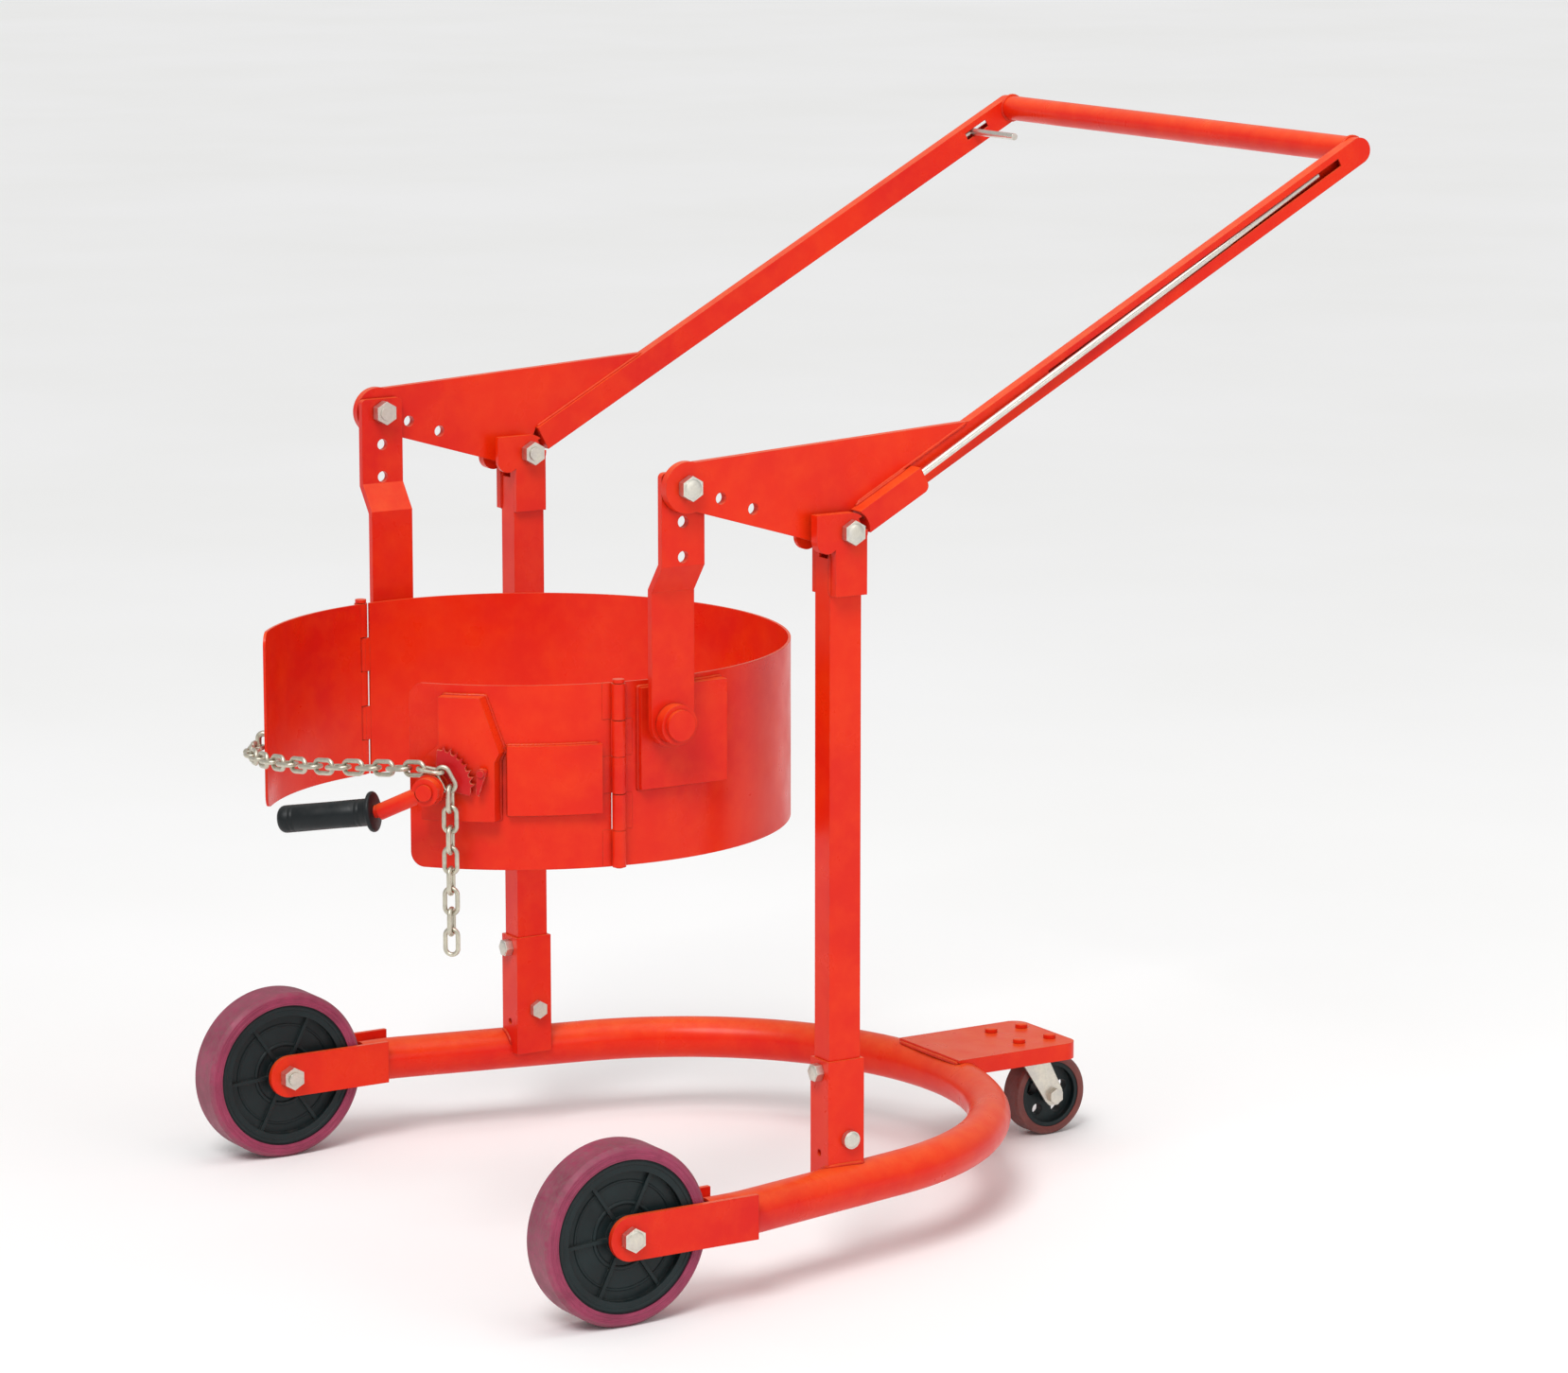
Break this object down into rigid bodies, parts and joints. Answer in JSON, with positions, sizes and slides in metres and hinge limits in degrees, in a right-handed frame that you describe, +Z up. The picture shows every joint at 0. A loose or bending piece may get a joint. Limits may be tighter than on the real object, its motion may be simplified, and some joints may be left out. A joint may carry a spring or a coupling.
{
  "type": "drum dolly",
  "caption": "Manual drum dolly: wheeled U-shaped base, posts, long lever handle and a hinged clamp saddle closed by a chain.",
  "frame": {"origin": "on the floor under the axis of the clamp saddle", "axes": "+Z up, -Y towards the open front of the base, +Y towards the handle, +X towards the side that carries the chain clamp"},
  "size_m": [0.8846, 1.2821, 1.2209],
  "materials": {
    "frame_paint": "gloss",
    "zinc": "satin",
    "wheel_hub": "matte",
    "wheel_tread": "matte",
    "grip_plastic": "satin"
  },
  "bodies": {
    "base": {"base_tube": "frame_paint", "outer_fork_plates": "frame_paint", "inner_fork_plates": "frame_paint", "wheel_axles": "zinc", "wheel_axle_nuts": "zinc", "post_sockets": "frame_paint", "post_right": "frame_paint", "post_left": "frame_paint", "outer_cheeks": "frame_paint", "inner_cheeks": "frame_paint", "socket_bolts": "zinc", "clamp_screws": "zinc", "pivot_bolts": "zinc", "pivot_nuts": "zinc", "caster_bracket": "frame_paint", "caster_plate": "zinc", "caster_bolts": "zinc", "caster_nuts": "zinc", "caster_kingpin": "zinc"},
    "wheel_right": {"wheel_core_right": "wheel_hub", "wheel_tyre_right": "wheel_tread"},
    "wheel_left": {"wheel_core_left": "wheel_hub", "wheel_tyre_left": "wheel_tread"},
    "caster_yoke": {"caster_fork": "zinc", "caster_axle": "zinc"},
    "caster_wheel": {"caster_core": "wheel_hub", "caster_tread": "wheel_tread"},
    "lever": {"lever_plate_right": "frame_paint", "lever_plate_left": "frame_paint", "rail_right": "frame_paint", "rail_left": "frame_paint", "crossbar": "frame_paint", "lock_box_right": "frame_paint", "lock_box_left": "frame_paint", "lever_spacers": "zinc", "link_bolts": "zinc", "link_nuts": "zinc"},
    "lock_right": {"lock_rod_right": "zinc"},
    "lock_left": {"lock_rod_left": "zinc"},
    "links": {"link_right": "frame_paint", "link_left": "frame_paint"},
    "saddle": {"saddle_band": "frame_paint", "trunnion_plates": "frame_paint", "trunnion_pins": "zinc", "trunnion_caps": "frame_paint", "hinge_pins": "zinc"},
    "wing_r": {"wing_right": "frame_paint", "wing_rib_right": "frame_paint", "clamp_housing": "frame_paint", "clamp_shaft": "zinc", "chain_span": "zinc", "chain_tail": "zinc"},
    "wing_l": {"wing_left": "frame_paint", "wing_rib_left": "frame_paint", "chain_anchor": "zinc"},
    "clamp_lever": {"ratchet_lever": "frame_paint", "ratchet_sector": "zinc", "lever_grip": "grip_plastic"},
    "pawl_piece": {"pawl": "zinc"}
  },
  "joints": [
    {"name": "wheel_right_spin", "type": "hinge", "parent": "base", "child": "wheel_right", "pos_m": [0.402, -0.118, 0.1], "axis": [1, 0, 0], "continuous": true},
    {"name": "wheel_left_spin", "type": "hinge", "parent": "base", "child": "wheel_left", "pos_m": [-0.402, -0.118, 0.1], "axis": [1, 0, 0], "continuous": true},
    {"name": "caster_swivel", "type": "hinge", "parent": "base", "child": "caster_yoke", "pos_m": [0, 0.676, 0.108], "axis": [0, 0, 1], "continuous": true},
    {"name": "caster_roll", "type": "hinge", "parent": "caster_yoke", "child": "caster_wheel", "pos_m": [0, 0.711, 0.05], "axis": [1, 0, 0], "continuous": true},
    {"name": "lever_tilt", "type": "hinge", "parent": "base", "child": "lever", "pos_m": [0, 0.193, 0.829], "axis": [-1, 0, 0], "range_deg": [-33, 20]},
    {"name": "links_hang", "type": "hinge", "parent": "lever", "child": "links", "pos_m": [0, 0, 0.89], "axis": [-1, 0, 0], "range_deg": [-20, 33]},
    {"name": "saddle_tip", "type": "hinge", "parent": "links", "child": "saddle", "pos_m": [0, 0, 0.63], "axis": [1, 0, 0], "range_deg": [-10, 75]},
    {"name": "wing_right_open", "type": "hinge", "parent": "saddle", "child": "wing_r", "pos_m": [0.2984, -0.05262, 0.574], "axis": [0, 0, 1], "range_deg": [-10, 95], "deforming": ["chain_span"]},
    {"name": "wing_left_open", "type": "hinge", "parent": "saddle", "child": "wing_l", "pos_m": [-0.2984, -0.05262, 0.574], "axis": [0, 0, -1], "range_deg": [-10, 95], "deforming": ["chain_span"]},
    {"name": "clamp_turn", "type": "hinge", "parent": "wing_r", "child": "clamp_lever", "pos_m": [0.20324, -0.21794, 0.567], "axis": [-0.682, 0.7314, 0], "range_deg": [-10, 60]},
    {"name": "pawl_lift", "type": "hinge", "parent": "wing_r", "child": "pawl_piece", "pos_m": [0.25527, -0.19677, 0.584], "axis": [0.682, -0.7314, 0], "range_deg": [0, 25]},
    {"name": "lock_right_slide", "type": "slide", "parent": "lever", "child": "lock_right", "axis": [0, -0.8788, -0.4772], "range_m": [0, 0.008]},
    {"name": "lock_left_slide", "type": "slide", "parent": "lever", "child": "lock_left", "axis": [0, -0.8788, -0.4772], "range_m": [0, 0.008]}
  ],
  "couplings": [
    {"joint": "links_hang", "follows": "lever_tilt", "ratio": -1},
    {"joint": "lock_left_slide", "follows": "lock_right_slide", "ratio": 1}
  ]
}
